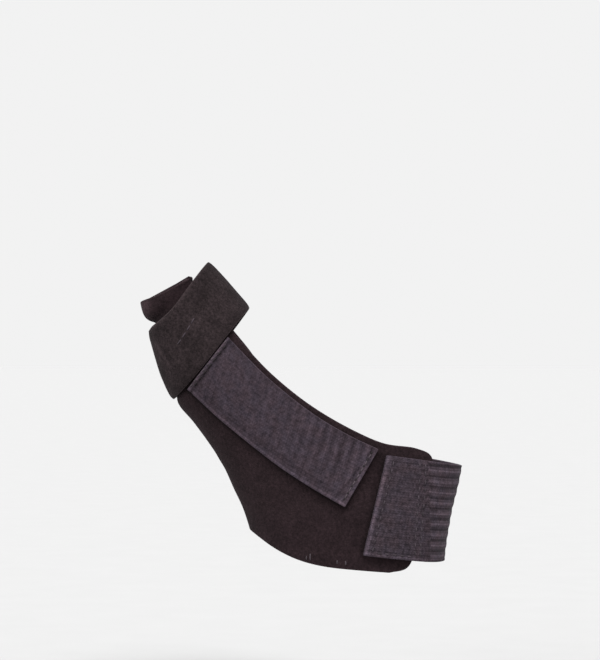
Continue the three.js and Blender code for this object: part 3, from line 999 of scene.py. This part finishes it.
wrist, wrist_low = wrist_strap_patch(*WRIST_STRAP_GRID)
wrist_u, wrist_v = wrist.weave[..., 0], wrist.weave[..., 1]
wrist_width = wrist_v[-1].mean()
wrist_to_end = wrist_u[:, -1:] - wrist_u
wrist_to_side = np.minimum(wrist_v, wrist_width - wrist_v)
wrist_ribs = rib_wave(wrist_v, WRIST_RIB)
wrist_x, wrist_y = wrist.base[..., 0], wrist.base[..., 1]
on_tab = (wrist_y < 0) * band(wrist_x, TAB_SIDE_X - TAB_BLEND, TAB_SIDE_X + TAB_BLEND)
# Relief in millimetres: the ribs, faint on the tab, the tab itself, the fold at the free end and the selvages
wrist_relief = (
    0.2 * (wrist_ribs - 1) * (1 - 0.85 * on_tab) * smoothstep(wrist_to_side, 0.4, 1.4)
    + 0.15 * on_tab
    + 0.14 * band(wrist_to_end, 3.2, 4.2)
    + 0.08 * band(wrist_to_side, 0.6, 1.2)
)
# The tab's free end and lower edge are lighter, and its two edge seams darker
wrist_light = 0.85 * band(wrist_to_end, 0.7, 1.3) + 0.45 * band(wrist_v, 0.7, 1.2) * on_tab
wrist_dark = (
    0.6 * bump(wrist_to_end - TAB_END_SEAM, 0.5)
    + 0.4 * bump(wrist_v - TAB_LOWER_SEAM, 0.5) * on_tab
)
wrist_high = wrist_low + STRAP_THICKNESS + wrist_relief
wrist_piece = cloth(
    "wrist_strap_cloth", wrist, wrist_low, wrist_high, CLOTH_EDGE, [wrist_rib, selvage, wrist_rib, wrist_tab],
    zone_shares(wrist_light, wrist_dark))
tab_faces = (on_tab[:-1, :-1] > 0.5).ravel()
wrist_kinds = np.zeros(len(wrist_piece.data.polygons), np.int32)
wrist_piece.data.polygons.foreach_get("material_index", wrist_kinds)
wrist_kinds[:len(tab_faces)][tab_faces] = TAB_FACE
wrist_piece.data.polygons.foreach_set("material_index", wrist_kinds)


# Stitches

def on_cloth(patch, high, i, j):
    """Points and normals on a piece's outer face, at fractional rows and columns."""
    outer = patch.base + patch.normal * high[..., None]
    return sample(outer, i, j), unit(sample(patch.normal, i, j))


def front_line(start, end, lift):
    """A path on the back of the form between two x and z places of the front view, and its normals."""
    x, z = np.linspace(start, end, SHORT_POINTS).T
    place, angle = place_of_lifted(x, z, DORSAL, lift)
    patch = patch_at(place, angle, None)
    return patch.base + patch.normal * lift, patch.normal


def loop_line(start, end):
    """A path on the front of the loop between two x and z places of the front view, and its normals."""
    ends = []
    for place in (start, end):
        off = np.where(loop_front, np.linalg.norm(loop_outer[..., (0, 2)] - place, axis=-1), np.inf)
        ends.append(np.unravel_index(np.argmin(off), off.shape))
    i, j = np.linspace(*ends, SHORT_POINTS).T
    return on_cloth(loop, loop_high, i, j)


def strap_line(distance, margin):
    """A path across the thumb strap at a distance from its loop end, with a margin at both sides."""
    rows, columns = strap_u.shape
    i = np.full(STRAP_POINTS, distance / strap_length * (rows - 1))
    j = np.linspace(margin, strap_width - margin, STRAP_POINTS) / strap_width * (columns - 1)
    return on_cloth(strap, strap_high, i, j)


def wrist_line(start, end, from_sewn_end=False):
    """A path on the wrist strap between two places, each a distance from the free end, or from the sewn
    end, and a distance from the lower edge."""
    inward, side = np.linspace(start, end, WRIST_POINTS).T
    rows, columns = wrist_u.shape
    i = side / wrist_width * (rows - 1)
    j = []
    for row, distance in zip(np.clip(np.round(i).astype(int), 0, rows - 1), inward):
        wanted = distance if from_sewn_end else wrist_u[row, -1] - distance
        j.append(np.interp(wanted, wrist_u[row], np.arange(columns)))
    return on_cloth(wrist, wrist_high, i, np.array(j))


hem_tacks = stitches("body_hem_tacks", [
    (*front_line((x, high), (x, low), BODY_THICKNESS), high - low, TACK_GAP) for x, high, low in HEM_TACKS
], light_thread)
loop_stitches = stitches("thumb_loop_stitches", [(*loop_line(*LOOP_SEAM), *LOOP_STITCH)], grey_thread)
strap_fold_line = strap_line(STRAP_FOLD_SEAM, 0.8)
strap_hem_line = strap_line(STRAP_HEM_SEAM, 1.2)
strap_end_line = strap_line(strap_length - STRAP_END_SEAM, 1.2)
strap_hem_stitches = stitches("thumb_strap_hem_stitches", [(*strap_fold_line, *FOLD_STITCH)], light_thread)
strap_stitches = stitches("thumb_strap_stitches", [(*strap_hem_line, *HEM_STITCH)], dark_thread)
strap_end_stitches = stitches("thumb_strap_end_stitches", [(*strap_end_line, *END_STITCH)], light_thread)
strap_end_holes = stitches("thumb_strap_end_holes", [(*strap_end_line, *END_HOLE, HOLE_ROWS)], dark_thread)

# Along the tab's free end and lower edge, twice along its inner side, and twice along the sewn end
wrist_lines = [
    wrist_line((TAB_END_SEAM, 1.8), (TAB_END_SEAM, wrist_width - 1.8)),
    wrist_line((3.4, TAB_LOWER_SEAM), (18.6, TAB_LOWER_SEAM)),
    wrist_line((19.0, 2.6), (12.4, wrist_width - 1.4)),
    wrist_line((21.3, 2.6), (14.7, wrist_width - 1.4)),
    wrist_line((2.2, 1.4), (2.2, wrist_width - 1.4), from_sewn_end=True),
    wrist_line((5.2, 1.4), (5.2, wrist_width - 1.4), from_sewn_end=True),
]
wrist_stitches = stitches(
    "wrist_strap_stitches", [(*line, *WRIST_STITCH) for line in wrist_lines], grey_thread)
wrist_holes = stitches(
    "wrist_strap_holes", [(*line, *WRIST_HOLE, HOLE_ROWS) for line in wrist_lines], dark_thread)

dress(
    body_piece, "body_panel",
    with_pieces=[hem_tacks])
dress(
    loop_piece, "thumb_loop",
    with_pieces=[loop_stitches])
dress(
    strap_piece, "thumb_strap",
    with_pieces=[strap_hem_stitches, strap_stitches, strap_end_stitches, strap_end_holes])
dress(
    wrist_piece, "wrist_strap",
    with_pieces=[wrist_stitches, wrist_holes])


# Stage, light and camera

FLOOR_TONE = 0.53
FLOOR_GRAIN = 0.005
FLOOR_Z = -75.0
FLOOR_REACH = 9000.0
WORLD_TONE = 0.887
CAMERA_PLACE = (-0.0196, -1.0, 0.0691)
CAMERA_LENS = 142.05
CAMERA_SENSOR = 36.0


def floor_material():
    nodes = Nodes("pale_floor")
    grain = nodes.noise(nodes.place(), scale=40)
    dark = (FLOOR_TONE - FLOOR_GRAIN,) * 3
    light = (FLOOR_TONE + FLOOR_GRAIN,) * 3
    tone = nodes.ramp(grain, (NOISE_LOW, dark), (NOISE_HIGH, light))
    return nodes.finish(
        tone, nodes.range(grain, 0.9, 1.0), grain, bump_mm=0.05, strength=0.2, specular=0.0)


floor_corners = ((-1, -1), (1, -1), (1, 1), (-1, 1))
floor_points = [(x * FLOOR_REACH, y * FLOOR_REACH, FLOOR_Z) for x, y in floor_corners]
floor = add_mesh("floor", floor_points, [(0, 1, 2, 3)], [0], [floor_material()])


def soft_sun(name, origin, spread, strength):
    """A broad, even light from a direction."""
    data = bpy.data.lights.new(name, "SUN")
    data.angle = spread
    data.energy = strength
    light = bpy.data.objects.new(name, data)
    light.location = origin
    light.rotation_mode = "QUATERNION"
    light.rotation_quaternion = Vector([-part for part in origin]).to_track_quat("-Z", "Y")
    bpy.context.scene.collection.objects.link(light)


soft_sun("key", origin=(0.1, -0.7, 1.0), spread=0.5, strength=2.6)
soft_sun("fill", origin=(-0.8, -0.7, 0.3), spread=0.9, strength=1.3)

world = bpy.data.worlds.new("studio")
bpy.context.scene.world = world
world.use_nodes = True
background = world.node_tree.nodes["Background"]
background.inputs["Color"].default_value = (WORLD_TONE, WORLD_TONE, WORLD_TONE, 1.0)
background.inputs["Strength"].default_value = 1.0

bpy.context.scene.view_settings.view_transform = "Standard"

camera_data = bpy.data.cameras.new("camera")
camera_data.sensor_width = CAMERA_SENSOR
camera_data.lens = CAMERA_LENS
camera = bpy.data.objects.new("camera", camera_data)
camera.location = CAMERA_PLACE
camera.rotation_euler = (math.pi / 2, 0, 0)
bpy.context.scene.collection.objects.link(camera)
bpy.context.scene.camera = camera
